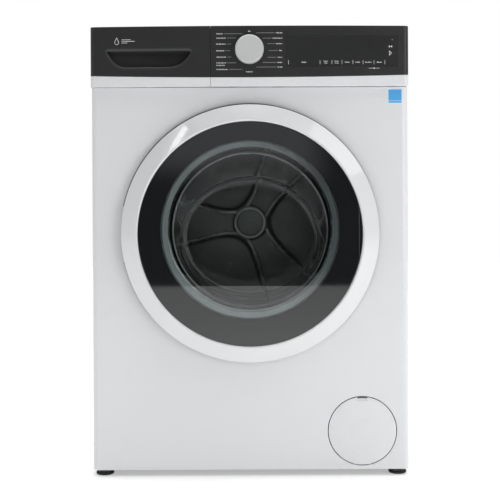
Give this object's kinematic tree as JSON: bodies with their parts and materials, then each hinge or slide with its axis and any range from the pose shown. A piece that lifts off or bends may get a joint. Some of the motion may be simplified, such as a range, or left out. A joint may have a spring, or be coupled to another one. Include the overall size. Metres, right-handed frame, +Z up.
{
  "type": "front load washing machine",
  "caption": "Front loading washing machine with a round glass door, program knob, display, detergent drawer, sprung tub and belt driven drum.",
  "frame": {"origin": "on the floor, under the middle of the machine's outer box", "axes": "+Z up, +Y to the back, +X to the right for someone facing the door"},
  "size_m": [0.597, 0.56, 0.845],
  "materials": {
    "white_steel": "satin",
    "zinc_steel": "satin",
    "white_laminate": "satin",
    "white_plastic": "satin",
    "white_gloss_plastic": "gloss",
    "charcoal_plastic": "satin",
    "smoked_window": "satin",
    "black_gloss": "gloss",
    "silver_plastic": "satin",
    "clear_glass": "gloss",
    "bright_steel": "satin",
    "cast_aluminium": "matte",
    "grey_rubber": "matte",
    "black_rubber": "matte",
    "grey_plastic": "satin",
    "dark_plastic": "satin",
    "concrete": "matte",
    "circuit_board": "satin"
  },
  "bodies": {
    "cabinet": {"front_panel": "white_steel", "side_panel_left": "white_steel", "side_panel_right": "white_steel", "rear_panel": "zinc_steel", "rear_service_cover": "zinc_steel", "top_rail_front": "zinc_steel", "worktop": "white_laminate", "base_tray": "dark_plastic", "fascia_body": "white_plastic", "fascia_overlay": "charcoal_plastic", "display_window": "smoked_window", "control_board": "circuit_board", "drawer_housing": "grey_plastic", "inlet_valve": "grey_plastic", "mains_gland": "dark_plastic", "fill_hose": "grey_rubber", "sump_hose": "black_rubber", "drain_pump": "dark_plastic", "hinge_bracket": "zinc_steel", "door_lock": "dark_plastic", "door_gasket": "grey_rubber", "spring_left": "bright_steel", "spring_right": "bright_steel"},
    "tub": {"tub_front": "grey_plastic", "tub_rear": "grey_plastic", "counterweight_front": "concrete", "counterweight_top": "concrete", "heater": "bright_steel", "bearing_front": "bright_steel", "bearing_rear": "bright_steel", "motor_body": "zinc_steel", "drive_belt": "black_rubber"},
    "drum": {"drum_shell": "bright_steel", "drum_lifter_1": "grey_plastic", "drum_lifter_2": "grey_plastic", "drum_lifter_3": "grey_plastic", "drum_spider": "cast_aluminium", "drum_shaft": "bright_steel", "drum_pulley": "cast_aluminium"},
    "motor_rotor": {"motor_pulley": "bright_steel"},
    "door": {"door_ring": "white_gloss_plastic", "door_cover": "black_gloss", "door_bowl": "clear_glass", "door_frame": "grey_plastic", "hinge_leaf": "zinc_steel"},
    "hook": {"door_hook": "zinc_steel"},
    "drawer": {"drawer_front": "white_plastic", "drawer_overlay": "charcoal_plastic", "drawer_tray": "grey_plastic"},
    "knob": {"program_knob": "silver_plastic"},
    "filter_flap": {"filter_cover": "white_plastic"},
    "filter_plug": {"filter_cap": "grey_plastic"},
    "damper_left": {"damper_cylinder_left": "dark_plastic"},
    "damper_left_rod": {"damper_rod_left": "bright_steel"},
    "damper_right": {"damper_cylinder_right": "dark_plastic"},
    "damper_right_rod": {"damper_rod_right": "bright_steel"},
    "foot_fl": {"foot_front_left": "black_rubber"},
    "foot_fr": {"foot_front_right": "black_rubber"},
    "foot_bl": {"foot_back_left": "black_rubber"},
    "foot_br": {"foot_back_right": "black_rubber"}
  },
  "joints": [
    {"name": "tub_suspension", "type": "slide", "parent": "cabinet", "child": "tub", "axis": [0, 0, 1], "range_m": [-0.012, 0.012], "stiffness_N_per_m": 13000, "springref_m": 0.02374, "deforming": ["spring_left", "spring_right", "fill_hose", "sump_hose", "door_gasket"]},
    {"name": "drum_spin", "type": "hinge", "parent": "tub", "child": "drum", "pos_m": [0, 0, 0.465], "axis": [0, 1, 0], "continuous": true},
    {"name": "motor_spin", "type": "hinge", "parent": "tub", "child": "motor_rotor", "pos_m": [0, 0.2, 0.12], "axis": [0, 1, 0], "continuous": true},
    {"name": "door_hinge", "type": "hinge", "parent": "cabinet", "child": "door", "pos_m": [-0.229, -0.2535, 0.4576], "axis": [0, 0, -1], "range_deg": [0, 130]},
    {"name": "hook_pivot", "type": "hinge", "parent": "door", "child": "hook", "pos_m": [0.203, -0.252, 0.4575], "axis": [0, 0, 1], "range_deg": [0, 8], "stiffness_Nm_per_rad": 0.4, "springref_deg": -5.73},
    {"name": "drawer_slide", "type": "slide", "parent": "cabinet", "child": "drawer", "axis": [0, -1, 0], "range_m": [0, 0.2]},
    {"name": "knob_turn", "type": "hinge", "parent": "cabinet", "child": "knob", "pos_m": [0, -0.262, 0.8], "axis": [0, 1, 0], "continuous": true},
    {"name": "filter_cover_hinge", "type": "hinge", "parent": "cabinet", "child": "filter_flap", "pos_m": [0.2097, -0.2382, 0.024], "axis": [1, 0, 0], "range_deg": [0, 42]},
    {"name": "filter_cap_turn", "type": "hinge", "parent": "cabinet", "child": "filter_plug", "pos_m": [0.2097, -0.23, 0.084], "axis": [0, -1, 0], "range_deg": [0, 120]},
    {"name": "damper_left_swing", "type": "hinge", "parent": "cabinet", "child": "damper_left", "pos_m": [-0.2, 0.02, 0.04], "axis": [0, 1, 0], "range_deg": [-1.3, 1.3]},
    {"name": "damper_left_stroke", "type": "slide", "parent": "damper_left", "child": "damper_left_rod", "axis": [0.304, 0, 0.9527], "range_m": [-0.012, 0.012]},
    {"name": "damper_right_swing", "type": "hinge", "parent": "cabinet", "child": "damper_right", "pos_m": [0.2, 0.02, 0.04], "axis": [0, 1, 0], "range_deg": [-1.3, 1.3]},
    {"name": "damper_right_stroke", "type": "slide", "parent": "damper_right", "child": "damper_right_rod", "axis": [-0.304, 0, 0.9527], "range_m": [-0.012, 0.012]},
    {"name": "foot_fl_screw", "type": "slide", "parent": "cabinet", "child": "foot_fl", "axis": [0, 0, -1], "range_m": [0, 0.015]},
    {"name": "foot_fr_screw", "type": "slide", "parent": "cabinet", "child": "foot_fr", "axis": [0, 0, -1], "range_m": [0, 0.015]},
    {"name": "foot_bl_screw", "type": "slide", "parent": "cabinet", "child": "foot_bl", "axis": [0, 0, -1], "range_m": [0, 0.015]},
    {"name": "foot_br_screw", "type": "slide", "parent": "cabinet", "child": "foot_br", "axis": [0, 0, -1], "range_m": [0, 0.015]}
  ],
  "couplings": [
    {"joint": "motor_spin", "follows": "drum_spin", "ratio": 11.156},
    {"joint": "damper_left_swing", "follows": "tub_suspension", "rad_per_m": -1.5407},
    {"joint": "damper_left_stroke", "follows": "tub_suspension", "ratio": 0.95266},
    {"joint": "damper_right_swing", "follows": "tub_suspension", "rad_per_m": 1.5407},
    {"joint": "damper_right_stroke", "follows": "tub_suspension", "ratio": 0.95266}
  ]
}
